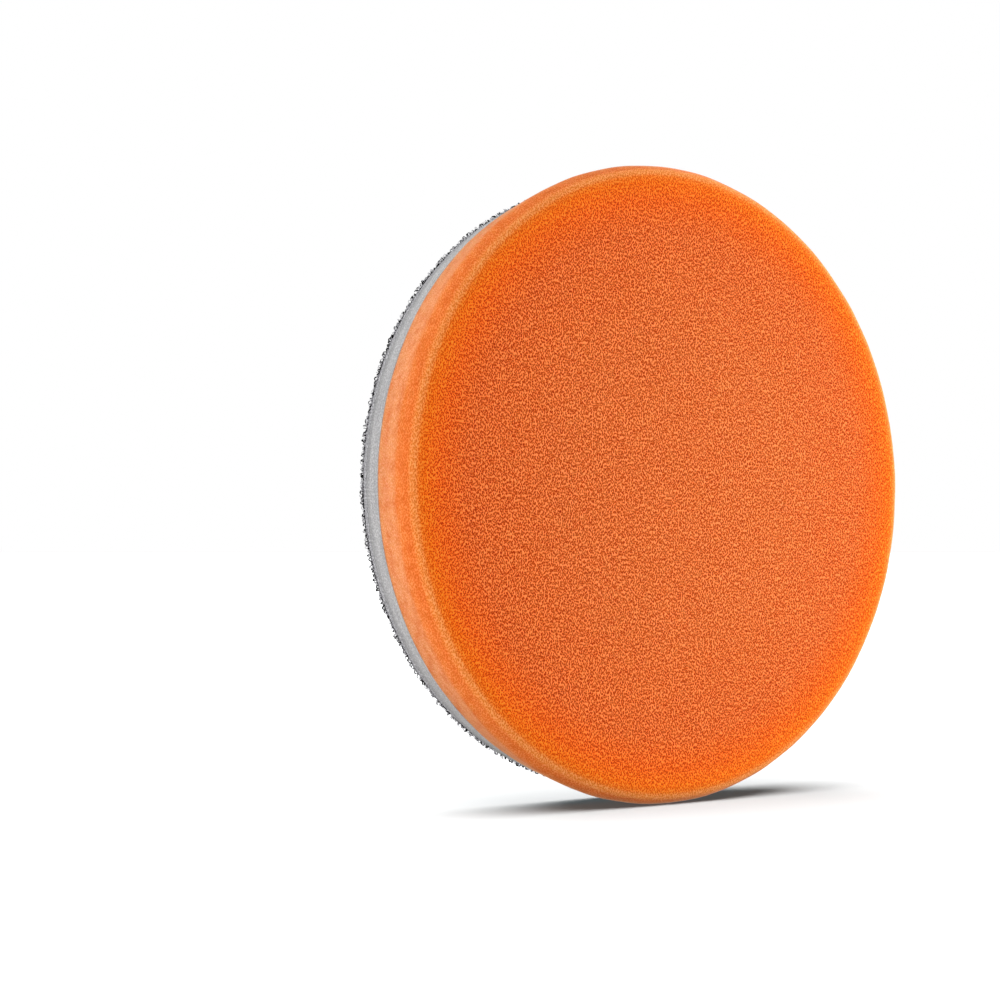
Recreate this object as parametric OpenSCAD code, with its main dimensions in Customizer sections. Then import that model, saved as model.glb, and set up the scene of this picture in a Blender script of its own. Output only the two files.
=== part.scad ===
// Foam polishing pad: a bonded stack of foam plies with a hook-and-loop backing.
// The pad's axis lies along Y. The loop face is at y = 0 and the working face looks along -Y.
// The origin is the centre of the loop face, where the pad meets a backing plate.

/* [Outline] */
// Widest diameter, at the rounded rim of the working foam
pad_d = 165; // [80:1:200]
// How far the wall leans in towards the backing, in degrees off the pad's axis
wall_lean = 10.8; // [0:0.1:15]
// Radius of the rounded rim round the working face
rim_r = 5.2; // [2:0.1:8]

/* [Layers] */
// Thickness of the orange working foam
working_foam_t = 16.5; // [12:0.5:30]
// Thickness of the gray interlayer foam
interlayer_foam_t = 7.3; // [3:0.1:15]
// Thickness of the pale ply that stiffens the backing
backing_ply_t = 1.6; // [0.5:0.1:4]
// Thickness of the loop fabric's knitted ground
loop_cloth_t = 0.4; // [0.2:0.1:1]
// Height of the loops that stand on the knitted ground
loop_pile_t = 0.8; // [0.4:0.1:2]
// Thickness of each bond film between two plies
bond_t = 0.2; // [0.1:0.05:0.5]

/* [Finish] */
// Facets of a full turn in the preview
turn_facets = 144; // [48:12:360]
// Facets of the rim's round section in the preview
rim_facets = 48; // [16:4:96]

/* [Hidden] */

// Heights above the loop face, ply by ply
loop_cloth_h = loop_pile_t;
backing_ply_h = loop_cloth_h + loop_cloth_t;
backing_bond_h = backing_ply_h + backing_ply_t;
interlayer_foam_h = backing_bond_h + bond_t;
foam_bond_h = interlayer_foam_h + interlayer_foam_t;
working_foam_h = foam_bond_h + bond_t;
pad_t = working_foam_h + working_foam_t;

// Centre of the rim's round section
rim_centre_x = pad_d / 2 - rim_r;
rim_centre_h = pad_t - rim_r;
// Where the straight wall runs into the round rim
tangent_x = rim_centre_x + rim_r * cos(wall_lean);
tangent_h = rim_centre_h - rim_r * sin(wall_lean);

// Radius of the straight wall at a height above the loop face
function wall_r(h) = tangent_x - (tangent_h - h) * tan(wall_lean);

// Lays a shape that was drawn up +Z along the pad's axis, towards -Y
module on_pad_axis() {
    rotate([90, 0, 0])
        children();
}

// One flat ply, whose edge follows the wall
module ply(h, t) {
    on_pad_axis()
        translate([0, 0, h])
            cylinder(h = t, r1 = wall_r(h), r2 = wall_r(h + t), $fn = turn_facets);
}

// Half section of the working foam, without the bulge of its rim
module working_foam_core() {
    polygon([
        [0, working_foam_h],
        [wall_r(working_foam_h), working_foam_h],
        [tangent_x, tangent_h],
        [rim_centre_x, pad_t],
        [0, pad_t]
    ]);
}

module loop_pile() {
    color([0.02, 0.02, 0.025])
        ply(0, loop_pile_t);
}

module loop_cloth() {
    color([0.16, 0.16, 0.17])
        ply(loop_cloth_h, loop_cloth_t);
}

module backing_ply() {
    color([0.78, 0.78, 0.79])
        ply(backing_ply_h, backing_ply_t);
}

module backing_bond() {
    color([0.50, 0.49, 0.49])
        ply(backing_bond_h, bond_t);
}

module interlayer_foam() {
    color([0.68, 0.68, 0.70])
        ply(interlayer_foam_h, interlayer_foam_t);
}

module foam_bond() {
    color([0.75, 0.55, 0.47])
        ply(foam_bond_h, bond_t);
}

module working_foam() {
    color([0.92, 0.42, 0.16])
        on_pad_axis()
            rotate_extrude($fn = turn_facets)
                union() {
                    working_foam_core();
                    translate([rim_centre_x, rim_centre_h])
                        circle(r = rim_r, $fn = rim_facets);
                }
}

loop_pile();
loop_cloth();
backing_ply();
backing_bond();
interlayer_foam();
foam_bond();
working_foam();
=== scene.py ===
import math

import bpy
import numpy as np
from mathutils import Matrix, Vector, noise


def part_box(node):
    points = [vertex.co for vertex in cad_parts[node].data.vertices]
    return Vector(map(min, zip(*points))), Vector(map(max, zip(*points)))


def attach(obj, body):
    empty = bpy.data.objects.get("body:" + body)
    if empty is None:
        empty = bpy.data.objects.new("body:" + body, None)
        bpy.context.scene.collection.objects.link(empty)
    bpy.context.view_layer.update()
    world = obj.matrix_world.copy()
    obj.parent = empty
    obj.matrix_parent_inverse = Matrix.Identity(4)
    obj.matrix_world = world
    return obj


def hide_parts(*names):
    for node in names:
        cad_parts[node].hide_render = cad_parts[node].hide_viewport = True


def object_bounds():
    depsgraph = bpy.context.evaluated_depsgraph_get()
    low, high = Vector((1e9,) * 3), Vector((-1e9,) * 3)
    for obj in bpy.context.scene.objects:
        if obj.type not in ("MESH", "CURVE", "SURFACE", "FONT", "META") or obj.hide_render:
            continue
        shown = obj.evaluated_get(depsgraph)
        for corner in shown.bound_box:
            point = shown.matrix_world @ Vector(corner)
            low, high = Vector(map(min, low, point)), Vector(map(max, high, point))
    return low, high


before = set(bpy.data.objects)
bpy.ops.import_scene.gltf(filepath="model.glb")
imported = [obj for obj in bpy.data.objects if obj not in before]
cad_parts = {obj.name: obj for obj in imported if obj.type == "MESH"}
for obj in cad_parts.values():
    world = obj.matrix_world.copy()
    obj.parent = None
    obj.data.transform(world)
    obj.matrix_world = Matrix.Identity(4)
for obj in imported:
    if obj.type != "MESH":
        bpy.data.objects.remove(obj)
CAD_LOW, CAD_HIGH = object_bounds()

# ---------------------------------------------------------------- measures
# All lengths are in metres, in the CAD frame. The pad's axis is Y. A height is measured from
# the loop face at y = 0 towards the working face, so a point at height h lies at y = -h.
MM = 0.001


def ply_heights(node_name):
    """A ply's heights above the loop face, at its back and at its front."""
    low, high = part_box(node_name)
    return -high.y, -low.y


def ply_radius(node_name):
    """The radius of a ply at its widest."""
    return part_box(node_name)[1].x


FOAM_BACK, PAD_T = ply_heights("working_foam")
PAD_R = ply_radius("working_foam")
# The straight wall, from two plies whose widest edges lie on it
WALL_LOW_H, WALL_LOW_R = ply_heights("loop_pile")[1], ply_radius("loop_pile")
WALL_HIGH_H, WALL_HIGH_R = ply_heights("foam_bond")[1], ply_radius("foam_bond")
WALL_SLOPE = (WALL_HIGH_R - WALL_LOW_R) / (WALL_HIGH_H - WALL_LOW_H)
WALL_LEAN = math.atan(WALL_SLOPE)
WALL_NORMAL = (math.cos(WALL_LEAN), -math.sin(WALL_LEAN))
RIM_R = 5.2 * MM


def wall_radius(height):
    """The radius of the straight wall at a height above the loop face."""
    return WALL_LOW_R + (height - WALL_LOW_H) * WALL_SLOPE


# ---------------------------------------------------------------- mesh helpers
def add_object(name, data):
    """A new object in the scene."""
    made = bpy.data.objects.new(name, data)
    bpy.context.scene.collection.objects.link(made)
    return made


def mesh_object(name, points, faces, made_of, skin=None):
    """A smooth-shaded mesh object of one material.

    skin is a flat place per vertex, in mm, that the material reads.
    """
    mesh = bpy.data.meshes.new(name)
    mesh.from_pydata(points, [], faces)
    mesh.polygons.foreach_set("use_smooth", [True] * len(mesh.polygons))
    if skin:
        flat = [value for place in skin for value in (*place, 0.0)]
        mesh.attributes.new("skin", "FLOAT_VECTOR", "POINT").data.foreach_set("vector", flat)
    mesh.materials.append(made_of)
    mesh.update()
    return add_object(name, mesh)


def stitch(inner, outer):
    """Triangles between two rings of vertex numbers, whose counts may differ."""
    n, m = len(inner), len(outer)
    if n == 1:
        return [(inner[0], outer[j], outer[(j + 1) % m]) for j in range(m)]
    faces = []
    i = j = 0
    while i < n or j < m:
        if j >= m or (i < n and (i + 1) * m <= (j + 1) * n):
            faces.append((inner[i % n], outer[j % m], inner[(i + 1) % n]))
            i += 1
        else:
            faces.append((inner[i % n], outer[j % m], outer[(j + 1) % m]))
            j += 1
    return faces


def turned(rings, flat_r, rng, relief, wander=0.3, cap_first=False, cap_last=False):
    """A body of revolution about Y whose surface is rough, and its skin laid out flat in mm.

    A ring is (radius, height, count, normal, spacing, across): normal is (radial, axial),
    spacing is how far apart the rings lie there, and across is how far it lies along the
    profile beyond radius flat_r. The skin is laid out as a disc that goes on past flat_r.
    Vertices wander over the surface within that share of their spacing, and
    relief(point, across) says how far each stands out along its normal.
    """
    points, skin, numbers = [], [], []
    last = len(rings) - 1
    for index, (radius, height, count, normal, spacing, across) in enumerate(rings):
        loose = 0 if index in (0, last) else wander * spacing
        offsets = rng.random((count, 2)) - 0.5
        ring = []
        for k in range(count):
            angle = 2 * math.pi * (k + wander * offsets[k, 0]) / count
            c, s = math.cos(angle), math.sin(angle)
            slide = loose * offsets[k, 1]
            r = radius + slide * normal[1]
            h = height - slide * normal[0]
            out = relief(Vector((r * c, -h, r * s)), across)
            r += normal[0] * out
            h += normal[1] * out
            ring.append(len(points))
            points.append((r * c, -h, r * s))
            reach = flat_r / MM + across + slide / MM
            skin.append((reach * c, reach * s))
        numbers.append(ring)
    faces = []
    for inner, outer in zip(numbers, numbers[1:]):
        faces += stitch(inner, outer)
    if cap_first:
        faces.append(tuple(numbers[0]))
    if cap_last:
        faces.append(tuple(reversed(numbers[-1])))
    return points, faces, skin


TUBE_TAPER = 0.6


def tubes(paths, sides):
    """Thin round tubes along (path, radius) pairs, as points and faces. Their ends taper."""
    points, faces = [], []
    for path, radius in paths:
        start = len(points)
        last = len(path) - 1
        side = (path[1] - path[0]).orthogonal().normalized()
        for i, at in enumerate(path):
            along = (path[min(i + 1, last)] - path[max(i - 1, 0)]).normalized()
            side = (side - along * side.dot(along)).normalized()
            other = along.cross(side)
            width = radius if 0 < i < last else TUBE_TAPER * radius
            for k in range(sides):
                turn = 2 * math.pi * k / sides
                points.append(at + (side * math.cos(turn) + other * math.sin(turn)) * width)
        for i in range(last):
            a, b = start + i * sides, start + (i + 1) * sides
            for k in range(sides):
                n = (k + 1) % sides
                faces.append((a + k, a + n, b + n, b + k))
        faces.append(tuple(start + k for k in reversed(range(sides))))
        faces.append(tuple(start + last * sides + k for k in range(sides)))
    return points, faces


def pitted(p, cell):
    """Open cells at a point, from 0 on a strut to -1 in the middle of a pore."""
    pore_reach = 0.55
    return min(noise.voronoi(p / cell)[0][0] / pore_reach, 1) - 1


def waves(p, size, height):
    """Soft waves over a surface: how far a point stands out, up to about height either way."""
    return noise.noise(p / size) * height


# ---------------------------------------------------------------- material helpers
def material(name):
    """A new node material: (material, node tree, its Principled shader)."""
    made = bpy.data.materials.new(name)
    made.use_nodes = True
    tree = made.node_tree
    shader = next(n for n in tree.nodes if n.type == "BSDF_PRINCIPLED")
    return made, tree, shader


def finish(shader, **values):
    """Sets the shader's inputs to plain values, each named as its socket, with _ for a space."""
    for key, value in values.items():
        shader.inputs[key.replace("_", " ")].default_value = value


def paint(tree, shader, colour, roughness):
    """Joins a colour and a roughness to the shader."""
    tree.links.new(colour, shader.inputs["Base Color"])
    tree.links.new(roughness, shader.inputs["Roughness"])


def node(tree, kind, inputs=(), **settings):
    """A node with its settings, and its inputs set to values or joined to sockets."""
    made = tree.nodes.new("ShaderNode" + kind)
    for key, value in settings.items():
        setattr(made, key, value)
    for key, value in dict(inputs).items():
        if isinstance(value, bpy.types.NodeSocket):
            tree.links.new(value, made.inputs[key])
        else:
            made.inputs[key].default_value = value
    return made


def vector_maths(tree, operation, a, b):
    """One Vector Math node's output."""
    return node(tree, "VectorMath", {0: a, 1: b}, operation=operation).outputs[0]


def place_mm(tree, stretch=(1, 1, 1)):
    """The surface point in the CAD frame, in millimetres, drawn out along X, Y and Z."""
    at = node(tree, "TexCoord").outputs["Object"]
    return vector_maths(tree, "DIVIDE", at, [MM * share for share in stretch])


def skin_mm(tree):
    """The surface point on the skin laid out flat, in millimetres from the pad's axis."""
    return node(tree, "Attribute", attribute_name="skin").outputs["Vector"]


def maths(tree, operation, a, b=0.0):
    """One Math node's output."""
    return node(tree, "Math", {0: a, 1: b}, operation=operation).outputs[0]


def remap(tree, value, low, high, to_low=0.0, to_high=1.0):
    """A value taken from one range to another, clamped."""
    inputs = {"Value": value, "From Min": low, "From Max": high, "To Min": to_low, "To Max": to_high}
    return node(tree, "MapRange", inputs).outputs[0]


def ramp(tree, value, stops):
    """A colour ramp of (place, (r, g, b)) stops over 0 to 1."""
    made = node(tree, "ValToRGB", {0: value})
    elements = made.color_ramp.elements
    elements.remove(elements[-1])
    for i, (place, colour) in enumerate(stops):
        stop = elements[0] if i == 0 else elements.new(place)
        stop.position = place
        stop.color = (*colour, 1)
    return made.outputs["Color"]


def blend_colours(tree, share, a, b, kind="MIX"):
    """Colour a with that share of b blended into it."""
    inputs = {0: share, 6: a, 7: b}
    return node(tree, "Mix", inputs, data_type="RGBA", blend_type=kind).outputs[2]


def noise_value(tree, at, size_mm, detail=2.0, rough=0.5):
    """Soft noise from 0 to 1, with features of that size."""
    inputs = {"Vector": at, "Scale": 1 / size_mm, "Detail": detail, "Roughness": rough}
    return node(tree, "TexNoise", inputs).outputs["Fac"]


def cells(tree, at, size_mm, dimensions="3D"):
    """Distance to the nearest cell centre, in cells."""
    inputs = {"Vector": at, "Scale": 1 / size_mm}
    return node(tree, "TexVoronoi", inputs, voronoi_dimensions=dimensions).outputs["Distance"]


def foam_grain(tree, cell_mm, stretch=(1, 1)):
    """How high open-cell foam stands at a point, from 0 in a pore to 1 on a strut.

    stretch is how much longer than cell_mm the cells are along the pad's X and Z.
    """
    at = vector_maths(tree, "DIVIDE", skin_mm(tree), (*stretch, 1))
    bend = {"Vector": at, "Scale": 0.8 / cell_mm, "Detail": 1.0}
    bend = node(tree, "TexNoise", bend, noise_dimensions="2D").outputs["Color"]
    bend = vector_maths(tree, "SUBTRACT", bend, (0.5, 0.5, 0.5))
    at = vector_maths(tree, "ADD", at, vector_maths(tree, "MULTIPLY", bend, (0.6 * cell_mm,) * 3))
    pore = remap(tree, cells(tree, at, cell_mm, "2D"), 0.05, 0.70, 0.0, 0.7)
    fine = remap(tree, noise_value(tree, at, 0.45 * cell_mm, 1.0, 0.6), 0.25, 0.75, 0.0, 0.3)
    return maths(tree, "ADD", pore, fine)


def bump(tree, shader, height, distance):
    """Joins a height to the shader's normal."""
    made = node(tree, "Bump", {"Height": height, "Distance": distance})
    tree.links.new(made.outputs[0], shader.inputs["Normal"])


# ---------------------------------------------------------------- materials
WHITE = (1, 1, 1, 1)
# A place across the orange foam's profile is in mm out from the edge of the flat face: below 0
# on the face, up to about 9 round the rim, and then down the wall. ORANGE_ACROSS is the stretch
# that its colour ramps cover, and the tones below are its colours there. These tones hold painted
# light: the orange deepens towards and round the rim as a painted glow of light through the foam,
# the pale band from 2.9 to 3.9 is a painted highlight along the rim's ridge, and the wall is paler
# lower down partly by the cut foam's own colour and partly by painted sheen.
ORANGE_ACROSS = (-45.0, 20.0)
ORANGE_TONES_AND_PAINTED_LIGHT = [
    (-40.0, (0.805, 0.121, 0.0137)),
    (-12.0, (0.835, 0.110, 0.0105)),
    (-4.0, (0.940, 0.109, 0.0048)),
    (0.5, (0.990, 0.141, 0.0038)),
    (2.0, (0.950, 0.172, 0.0100)),
    (2.9, (0.930, 0.258, 0.0430)),
    (3.9, (0.930, 0.262, 0.0470)),
    (4.8, (0.840, 0.180, 0.0280)),
    (7.5, (0.785, 0.202, 0.0405)),
    (11.0, (0.845, 0.290, 0.0940)),
    (16.0, (0.800, 0.272, 0.0890)),
]
PATCH_TONE = (0.66, 0.105, 0.009)
# How open the foam's cells look across the same profile: the cut wall's are nearly closed.
FOAM_OPENNESS = [(-14.0, 1.0), (-4.0, 0.82), (0.0, 0.68), (3.2, 0.30), (6.0, 0.20)]
ORANGE_CELL_MM = 0.35
ORANGE_CELL_STRETCH = (1.0, 1.80)


def across_ramp(tree, across, stops):
    """A colour ramp whose (place, colour) stops lie across the orange foam's profile, in mm."""
    low, high = ORANGE_ACROSS
    placed = [((place - low) / (high - low), colour) for place, colour in stops]
    return ramp(tree, remap(tree, across, low, high), placed)


def orange_foam():
    """Orange open-cell foam, deeper at the rim by painted glow, paler down the wall partly by painted
    sheen.
    """
    made, tree, shader = material("orange_foam")
    at = place_mm(tree)
    reach = node(tree, "VectorMath", {0: skin_mm(tree)}, operation="LENGTH").outputs["Value"]
    across = maths(tree, "SUBTRACT", reach, (PAD_R - RIM_R) / MM)
    # The colour across the profile, with its painted glow, painted ridge highlight and painted sheen.
    tone_and_painted_light = across_ramp(tree, across, ORANGE_TONES_AND_PAINTED_LIGHT)
    # Blotches down the wall, where the cut shows the foam's uneven colour
    patch = remap(tree, noise_value(tree, at, 2.6, 2.0, 0.55), 0.42, 0.70)
    on_wall = remap(tree, across, 4.0, 6.0)
    patch = maths(tree, "MULTIPLY", maths(tree, "MULTIPLY", patch, on_wall), 0.55)
    tone_and_painted_light = blend_colours(tree, patch, tone_and_painted_light, (*PATCH_TONE, 1))
    grain = foam_grain(tree, ORANGE_CELL_MM, ORANGE_CELL_STRETCH)
    # Painted shade in the pores and painted glints on the struts' tips, from the grain's height.
    shade = ramp(tree, grain, [
        (0.24, (0.40, 0.00, 0.00)),
        (0.50, (1.00, 0.86, 0.54)),
        (0.77, (1.40, 2.85, 6.8)),
    ])
    # The cut closes the wall's pores, so their painted shade and glints show less.
    open_cells = across_ramp(tree, across, [(place, (share,) * 3) for place, share in FOAM_OPENNESS])
    shade = blend_colours(tree, open_cells, WHITE, shade)
    colour = blend_colours(tree, 1.0, tone_and_painted_light, shade, "MULTIPLY")
    paint(tree, shader, colour, remap(tree, grain, 0.2, 0.9, 0.95, 0.7))
    finish(shader, Specular_IOR_Level=0.05, Subsurface_Weight=0.15, Subsurface_Scale=1.0,
           Subsurface_Radius=(7 * MM, 0.8 * MM, 0.2 * MM), Sheen_Weight=0.40, Sheen_Roughness=0.30,
           Sheen_Tint=(1.0, 0.72, 0.50, 1))
    bump(tree, shader, maths(tree, "MULTIPLY", grain, open_cells), 0.12 * MM)
    return made


def gray_foam():
    """The gray foam under the orange, in faint layers."""
    made, tree, shader = material("gray_foam")
    grain = foam_grain(tree, 0.6)
    colour = ramp(tree, grain, [
        (0.15, (0.310, 0.309, 0.312)),
        (0.50, (0.435, 0.433, 0.437)),
        (0.85, (0.550, 0.548, 0.555)),
    ])
    # Layers of the foam block, drawn out round the pad
    layers = ramp(tree, noise_value(tree, place_mm(tree, (9, 1, 9)), 1.0, 3.0, 0.6), [
        (0.36, (0.86, 0.86, 0.875)),
        (0.64, (1.08, 1.08, 1.075)),
    ])
    colour = blend_colours(tree, 1.0, colour, layers, "MULTIPLY")
    # It is a little darker towards the backing.
    depth = node(tree, "SeparateXYZ", {0: place_mm(tree)}).outputs["Y"]
    near_back = remap(tree, depth, -5.6, -4.2)
    darker = blend_colours(tree, near_back, WHITE, (0.77, 0.77, 0.77, 1))
    colour = blend_colours(tree, 1.0, colour, darker, "MULTIPLY")
    paint(tree, shader, colour, remap(tree, grain, 0.2, 0.9, 0.95, 0.75))
    finish(shader, Specular_IOR_Level=0.15, Subsurface_Weight=0.2, Subsurface_Scale=1.0,
           Subsurface_Radius=(1.4 * MM, 1.4 * MM, 1.4 * MM), Sheen_Weight=0.12)
    bump(tree, shader, grain, 0.16 * MM)
    return made


def pale_ply():
    """The pale backing ply, a denser foam with dark pores."""
    made, tree, shader = material("pale_ply")
    grain = foam_grain(tree, 0.55)
    colour = ramp(tree, grain, [
        (0.15, (0.170, 0.170, 0.182)),
        (0.50, (0.335, 0.335, 0.350)),
        (0.85, (0.540, 0.540, 0.555)),
    ])
    paint(tree, shader, colour, remap(tree, grain, 0.2, 0.9, 0.95, 0.8))
    finish(shader, Specular_IOR_Level=0.15, Sheen_Weight=0.15)
    bump(tree, shader, grain, 0.12 * MM)
    return made


def bond_film(name, dark, light):
    """A thin bonded seam, uneven where the glue has squeezed out."""
    made, tree, shader = material(name)
    at = place_mm(tree)
    streak = noise_value(tree, at, 1.1, 3.0, 0.6)
    colour = ramp(tree, streak, [(0.35, dark), (0.65, light)])
    paint(tree, shader, colour, remap(tree, noise_value(tree, at, 0.6), 0.2, 0.8, 0.5, 0.85))
    bump(tree, shader, noise_value(tree, at, 0.4), 0.05 * MM)
    return made


def yarn(name, dark, light, sheen):
    """Fine filament yarn, streaked from dark to light."""
    made, tree, shader = material(name)
    at = place_mm(tree)
    streak = noise_value(tree, at, 0.5, 2.0, 0.6)
    colour = ramp(tree, streak, [(0.3, dark), (0.7, light)])
    paint(tree, shader, colour, remap(tree, streak, 0.2, 0.8, 0.75, 0.45))
    finish(shader, Specular_IOR_Level=0.16, Sheen_Weight=sheen)
    bump(tree, shader, noise_value(tree, at, 0.12), 0.03 * MM)
    return made


def knit_ground():
    """The ground cloth's cut edge: dark yarn with pale ends in it."""
    made, tree, shader = material("knit_ground")
    at = place_mm(tree)
    ends = cells(tree, at, 0.9)
    colour = ramp(tree, ends, [
        (0.15, (0.42, 0.42, 0.44)),
        (0.40, (0.16, 0.16, 0.17)),
        (0.58, (0.015, 0.015, 0.018)),
    ])
    paint(tree, shader, colour, remap(tree, ends, 0.1, 0.7, 0.7, 0.95))
    bump(tree, shader, ends, 0.1 * MM)
    return made


# ---------------------------------------------------------------- pieces
FACE_CELL = 0.53 * MM  # between the orange skin's vertices
# The fine ridge round the rim: its place across the profile and half its width, in mm
RIDGE_ACROSS, RIDGE_HALF = 3.6, 0.7
RIDGE_HEIGHT = 0.12 * MM
FOAM_CELL = 0.95 * MM  # the larger cells, which are pits in both foams' skins


def working_foam():
    """The orange foam: flat face, rounded rim with a fine ridge, leaning wall."""
    rng = np.random.default_rng(11)
    rim_centre_r = PAD_R - RIM_R
    rim_centre_h = PAD_T - RIM_R
    turns = round(rim_centre_r / FACE_CELL)
    step = rim_centre_r / turns
    rings = []
    for k in range(turns + 1):
        rings.append((step * k, PAD_T, max(1, 6 * k), (0, 1), step, step * (k - turns) / MM))
    around = 6 * turns
    sweep = math.pi / 2 + WALL_LEAN
    rim_steps = round(sweep * RIM_R / FACE_CELL)
    for k in range(1, rim_steps + 1):
        turn = math.pi / 2 - sweep * k / rim_steps
        normal = (math.cos(turn), math.sin(turn))
        rings.append((rim_centre_r + RIM_R * normal[0], rim_centre_h + RIM_R * normal[1], around,
                      normal, step, sweep * RIM_R * k / rim_steps / MM))
    wall_top, rim_across = rings[-1][1], rings[-1][5]
    wall_steps = round((wall_top - FOAM_BACK) / FACE_CELL)
    for k in range(1, wall_steps + 1):
        down = (wall_top - FOAM_BACK) * k / wall_steps
        rings.append((wall_radius(wall_top - down), wall_top - down, around, WALL_NORMAL, step,
                      rim_across + down / math.cos(WALL_LEAN) / MM))

    def relief(p, across):
        ridge = math.exp(-((across - RIDGE_ACROSS) / RIDGE_HALF) ** 2) * RIDGE_HEIGHT
        roll = waves(p, 9 * MM, 0.12 * MM)
        # The pits are full on the face, fade round the rim, and are a third as deep on the wall.
        open_cells = min(1.0, max(0.35, 1.0 - (across - 1.0) * 0.16))
        return ridge + roll + pitted(p, FOAM_CELL) * open_cells * 0.10 * MM

    points, faces, skin = turned(rings, rim_centre_r, rng, relief, cap_last=True)
    made = mesh_object("working_foam_skin", points, faces, orange_foam(), skin)
    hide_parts("working_foam")
    return made


def bonded_disc(name, ply, ply_material, seed, cell, relief):
    """A bonded ply: a disc whose edge lies on the wall, its vertices about a cell apart."""
    rng = np.random.default_rng(seed)
    back, front = ply_heights(ply)
    steps = max(2, round((front - back) / cell))
    around = round(2 * math.pi * wall_radius(front) / cell)
    rings = []
    for k in range(steps + 1):
        h = front + (back - front) * k / steps
        rings.append((wall_radius(h), h, around, WALL_NORMAL, (front - back) / steps, (front - h) / MM))
    edge_r = wall_radius(front)
    points, faces, skin = turned(rings, edge_r, rng, relief, cap_first=True, cap_last=True)
    made = mesh_object(name, points, faces, ply_material, skin)
    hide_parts(ply)
    return made


MAT_HEIGHT = 0.35 * MM  # of the mat's surface, which lies this far in from the loop face
MAT_CELL = 0.8 * MM


def loop_mat(yarn_material):
    """The black mat of loops, as one rough surface."""
    rng = np.random.default_rng(31)
    edge_r = wall_radius(MAT_HEIGHT)
    turns = round(edge_r / MAT_CELL)
    step = edge_r / turns

    def relief(p, across):
        return waves(p, 1.5 * MM, 0.22 * MM) + waves(p, 0.7 * MM, 0.12 * MM)

    rings = [(step * k, MAT_HEIGHT, max(1, 6 * k), (0, -1), step, 0.0) for k in range(turns + 1)]
    front = ply_heights("loop_pile")[1]
    rings.append((wall_radius(front), front, 6 * turns, WALL_NORMAL, step, 0.0))
    points, faces, _ = turned(rings, edge_r, rng, relief, cap_last=True)
    made = mesh_object("loop_mat", points, [tuple(reversed(f)) for f in faces], yarn_material)
    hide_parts("loop_pile")
    return made


LOOP_PITCH = 2.25 * MM
LOOP_ROW = 0.866  # of the pitch between rows: each row sits in the gaps of the last
LOOP_MARGIN = 0.8 * MM  # of bare mat inside the edge
LOOP_FOOT = 0.40 * MM  # about how far in from the loop face a loop's feet are
LOOP_YARN_R = 0.075 * MM
LOOP_POINTS = 6  # along one loop


def standing_loops(yarn_material):
    """Loops that stand out of the mat, each a small arch of yarn."""
    rng = np.random.default_rng(32)
    reach = WALL_LOW_R - LOOP_MARGIN
    rows = int(reach / (LOOP_PITCH * LOOP_ROW)) + 1
    paths = []
    for row in range(-rows, rows + 1):
        for column in range(-rows - 1, rows + 2):
            # Chance, from -0.5 to 0.5, in a loop's place, heading, span, lift and lean
            drop = rng.random(6) - 0.5
            x = (column + 0.5 * (row % 2) + 0.8 * drop[0]) * LOOP_PITCH
            z = (row * LOOP_ROW + 0.7 * drop[1]) * LOOP_PITCH
            if math.hypot(x, z) > reach:
                continue
            heading = drop[2] * 2 * math.pi
            span = (0.55 + 0.3 * drop[3]) * MM
            lift = (0.45 + 0.25 * drop[4]) * MM
            lean = 0.8 * drop[5] * MM
            path = []
            for k in range(LOOP_POINTS):
                # A little more than half a turn, so that both feet sink into the mat
                turn = math.pi * (k / (LOOP_POINTS - 1) * 1.1 - 0.05)
                along = -math.cos(turn) * span
                aside = math.sin(turn) * lean
                path.append(Vector((
                    x + math.cos(heading) * along - math.sin(heading) * aside,
                    math.sin(turn) * lift - LOOP_FOOT,
                    z + math.sin(heading) * along + math.cos(heading) * aside,
                )))
            paths.append((path, LOOP_YARN_R))
    points, faces = tubes(paths, 4)
    made = mesh_object("loop_yarn", points, faces, yarn_material)
    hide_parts("loop_pile")
    return made


FRAY_ROOT = 0.35 * MM  # how far inside the edge the frayed yarn starts
FRAY_LOOSE = 0.25  # share of the yarn that ends loose
FRAY_POINTS = 6  # along one yarn


def frayed_edge(name, ply, yarn_material, seed, count, thickness, out, heights):
    """Cut yarn round the fabric's edge, in small arches and loose ends.

    out is how far a yarn stands out, and heights the band of heights that it starts in.
    """
    rng = np.random.default_rng(seed)
    low, high = heights
    paths = []
    for k in range(count):
        # Chance, from -0.5 to 0.5, in a yarn's place, size, tilt, ends and thickness
        drop = rng.random(10) - 0.5
        angle = 2 * math.pi * (k + 0.9 * drop[0]) / count
        c, s = math.cos(angle), math.sin(angle)
        outward, round_way, back = Vector((c, 0, s)), Vector((-s, 0, c)), Vector((0, 1, 0))
        h = low + (high - low) * (drop[1] + 0.5)
        root = outward * (wall_radius(h) - FRAY_ROOT) - back * h
        bulge = out * (1.0 + 1.1 * drop[2])
        span = (0.45 + 0.35 * drop[3]) * MM
        tilt = 1.6 * drop[4]
        loose = rng.random() < FRAY_LOOSE
        path = []
        for i in range(FRAY_POINTS):
            t = i / (FRAY_POINTS - 1)
            turn = math.pi * t * (0.62 if loose else 1.0)
            swing = -math.cos(turn) * span
            point = root + outward * (bulge * math.sin(turn))
            point += round_way * (swing * math.cos(tilt)) + back * (swing * math.sin(tilt))
            point += back * (0.35 * MM * drop[5] * math.sin(turn))
            path.append(point + (round_way * drop[6] + back * drop[7]) * 0.5 * MM * t * t)
        paths.append((path, thickness * (1 + 0.5 * drop[8]) / 2))
    points, faces = tubes(paths, 5)
    made = mesh_object(name, points, faces, yarn_material)
    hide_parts(ply)
    return made


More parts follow.
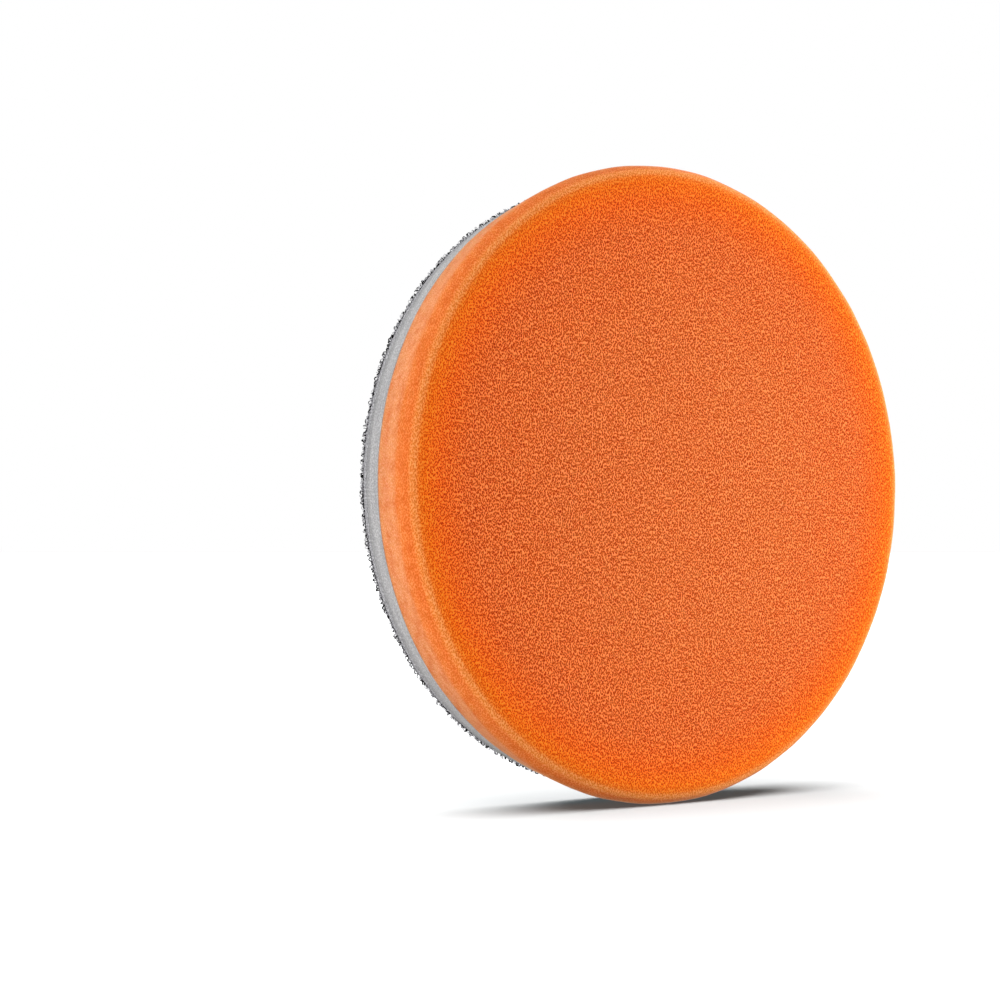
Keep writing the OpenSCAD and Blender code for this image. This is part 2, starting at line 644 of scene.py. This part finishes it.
foam = working_foam()
foam_seam = bonded_disc(
    "foam_bond_edge", "foam_bond",
    bond_film("foam_bond_film", (0.29, 0.19, 0.15), (0.42, 0.29, 0.22)),
    seed=12, cell=0.25 * MM, relief=lambda p, across: waves(p, 0.8 * MM, 0.05 * MM) - 0.03 * MM)
interlayer = bonded_disc(
    "interlayer_foam_skin", "interlayer_foam", gray_foam(),
    seed=13, cell=0.5 * MM,
    relief=lambda p, across: waves(p, 7 * MM, 0.10 * MM) + pitted(p, FOAM_CELL) * 0.16 * MM)
backing_seam = bonded_disc(
    "backing_bond_edge", "backing_bond",
    bond_film("backing_bond_film", (0.20, 0.20, 0.21), (0.36, 0.36, 0.37)),
    seed=14, cell=0.25 * MM, relief=lambda p, across: waves(p, 0.8 * MM, 0.05 * MM) - 0.08 * MM)
backing = bonded_disc(
    "backing_ply_edge", "backing_ply", pale_ply(),
    seed=15, cell=0.4 * MM,
    relief=lambda p, across: waves(p, 5 * MM, 0.08 * MM) + pitted(p, 0.7 * MM) * 0.12 * MM)
cloth = bonded_disc(
    "loop_cloth_edge", "loop_cloth", knit_ground(),
    seed=16, cell=0.22 * MM, relief=lambda p, across: waves(p, 0.6 * MM, 0.18 * MM))
black_yarn = yarn("black_yarn", (0.001, 0.001, 0.0013), (0.006, 0.006, 0.007), sheen=0.02)
pale_yarn = yarn("pale_yarn", (0.34, 0.34, 0.36), (0.74, 0.74, 0.78), sheen=0.1)
mat = loop_mat(black_yarn)
loops = standing_loops(black_yarn)
black_fray = frayed_edge(
    "black_fray", "loop_pile", black_yarn, seed=41, count=560,
    thickness=0.30 * MM, out=0.75 * MM, heights=(0.2 * MM, 1.2 * MM))
pale_fray = frayed_edge(
    "pale_fray", "loop_cloth", pale_yarn, seed=42, count=1250,
    thickness=0.17 * MM, out=0.80 * MM, heights=(0.1 * MM, 1.7 * MM))

for piece in (foam, foam_seam, interlayer, backing_seam, backing, cloth, mat, loops, black_fray,
              pale_fray):
    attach(piece, "root")


# ---------------------------------------------------------------- camera
# The camera looks at the working face from its left, a little below the pad's middle.
CAMERA_TURN = math.radians(-35.6)
CAMERA_PITCH = math.radians(1.3)
CAMERA_LENS_MM = 79.0
CAMERA_SENSOR_MM = 36.0
# How far ahead, right and up of the camera the middle of the working face is
FACE_AHEAD, FACE_RIGHT, FACE_UP = 0.565, 0.0454, 0.0042
face_centre = Vector((0, -PAD_T, 0))
level = Vector((-math.sin(CAMERA_TURN), math.cos(CAMERA_TURN), 0))
ahead = level * math.cos(CAMERA_PITCH) + Vector((0, 0, math.sin(CAMERA_PITCH)))
right = ahead.cross(Vector((0, 0, 1))).normalized()
up = right.cross(ahead)

camera_data = bpy.data.cameras.new("camera")
camera_data.lens = CAMERA_LENS_MM
camera_data.sensor_width = CAMERA_SENSOR_MM
camera = add_object("camera", camera_data)
camera.location = face_centre - ahead * FACE_AHEAD - right * FACE_RIGHT - up * FACE_UP
camera.rotation_euler = ahead.to_track_quat("-Z", "Y").to_euler()
bpy.context.scene.camera = camera


# ---------------------------------------------------------------- studio
def studio_point(place):
    """A point given as (right, up, ahead) of the loop face's middle, as the camera sees it."""
    return right * place[0] + Vector((0, 0, place[1])) + level * place[2]


def facing(direction):
    """The rotation of a lamp that shines that way."""
    return direction.to_track_quat("-Z", "Y").to_euler()


def softbox(name, place, size, energy, aim=(0, 0, 0)):
    """A square area light at one studio point, aimed at another."""
    data = bpy.data.lights.new(name, "AREA")
    data.shape = "SQUARE"
    data.size = size
    data.energy = energy
    made = add_object(name, data)
    made.location = studio_point(place)
    made.rotation_euler = facing(studio_point(aim) - made.location)
    return made


def seen_as(tree, seen, otherwise):
    """A shader that the camera sees as one thing, and bouncing light as another."""
    first_look = node(tree, "LightPath").outputs["Is Camera Ray"]
    return node(tree, "MixShader", {0: first_look, 1: otherwise, 2: seen}).outputs[0]


# The floor is a little cool and its lamp as much warmer: their white is plain, and the pad's
# orange bounce on the floor reads gray. The glow keeps the shadow's core from going black. Light
# that bounces meets a dark floor, which throws little back at the pad.
FLOOR_SEEN = (0.235, 0.30, 0.32)
FLOOR_GLOW = (0.046, 0.056, 0.060)
FLOOR_BOUNCE = (0.024, 0.024, 0.024)
FLOOR_R = 40.0
FLOOR_CORNERS = 96


def floor():
    """A plain pale floor under the pad."""
    floor_material, tree, shader = material("floor")
    lit = node(tree, "BsdfDiffuse", {0: (*FLOOR_SEEN, 1)}).outputs[0]
    glow = node(tree, "Emission", {0: (*FLOOR_GLOW, 1)}).outputs[0]
    bright = node(tree, "AddShader", {0: lit, 1: glow}).outputs[0]
    dim = node(tree, "BsdfDiffuse", {0: (*FLOOR_BOUNCE, 1)}).outputs[0]
    out = next(n for n in tree.nodes if n.type == "OUTPUT_MATERIAL")
    tree.links.new(seen_as(tree, bright, dim), out.inputs["Surface"])
    tree.nodes.remove(shader)
    edge = []
    for k in range(FLOOR_CORNERS):
        turn = 2 * math.pi * k / FLOOR_CORNERS
        edge.append((FLOOR_R * math.cos(turn), FLOOR_R * math.sin(turn), CAD_LOW.z))
    made = mesh_object("floor", edge, [tuple(range(FLOOR_CORNERS))], floor_material)
    return made


def light_only(lamp, thing, state):
    """Links a lamp to a thing: INCLUDE lights nothing else, and EXCLUDE everything else.

    A lamp that leaves the thing out isn't stopped by it either.
    """
    group = bpy.data.collections.new(lamp.name + "_reach")
    group.objects.link(thing)
    group.collection_objects[0].light_linking.link_state = state
    lamp.light_linking.receiver_collection = group
    if state == "EXCLUDE":
        lamp.light_linking.blocker_collection = group


ground = floor()
# The pad's own lamps leave the floor alone and shine up through it. One broad lamp above gives
# the floor its white and the soft shadow under the pad, as a studio's separately lit sweep does.
for lamp in (softbox("left_key", (-0.66, 0.00, -0.67), size=0.5, energy=7.2),
             softbox("left_low", (-0.75, -0.25, -0.35), size=0.4, energy=1.3),
             softbox("front_low", (-0.20, -0.70, -0.50), size=0.5, energy=0.9),
             softbox("right_front", (0.45, -0.02, -0.14), size=0.25, energy=1.5, aim=(0.03, 0, -0.03)),
             softbox("right_back", (0.78, 0.10, 0.32), size=0.4, energy=6.6),
             softbox("above", (0.00, 0.85, 0.10), size=0.4, energy=5.4),
             softbox("behind", (0.35, 0.30, 0.80), size=0.4, energy=1.6)):
    light_only(lamp, ground, "EXCLUDE")

OVERHEAD_WAY = Vector((0.20, -0.02, -1))
OVERHEAD_SPREAD = math.radians(90)
OVERHEAD_ENERGY = 18.0
OVERHEAD_BLUE = 0.80  # red and green follow from it, to make the floor's white plain
overhead_data = bpy.data.lights.new("overhead", "SUN")
overhead_data.energy = OVERHEAD_ENERGY
overhead_data.color = [FLOOR_SEEN[2] / share * OVERHEAD_BLUE for share in FLOOR_SEEN]
overhead_data.angle = OVERHEAD_SPREAD
overhead = add_object("overhead", overhead_data)
overhead.rotation_euler = facing(OVERHEAD_WAY)
light_only(overhead, ground, "INCLUDE")

# The camera sees a white backdrop, and everything else sees a dim room.
ROOM_LIGHT, BACKDROP_LIGHT = 0.045, 1.0
world = bpy.data.worlds.new("studio")
world.use_nodes = True
world_tree = world.node_tree
room = node(world_tree, "Background", {0: WHITE, 1: ROOM_LIGHT}).outputs[0]
backdrop = node(world_tree, "Background", {0: WHITE, 1: BACKDROP_LIGHT}).outputs[0]
world_out = next(n for n in world_tree.nodes if n.type == "OUTPUT_WORLD")
world_tree.links.new(seen_as(world_tree, backdrop, room), world_out.inputs["Surface"])
bpy.context.scene.world = world
bpy.context.scene.view_settings.view_transform = "Standard"
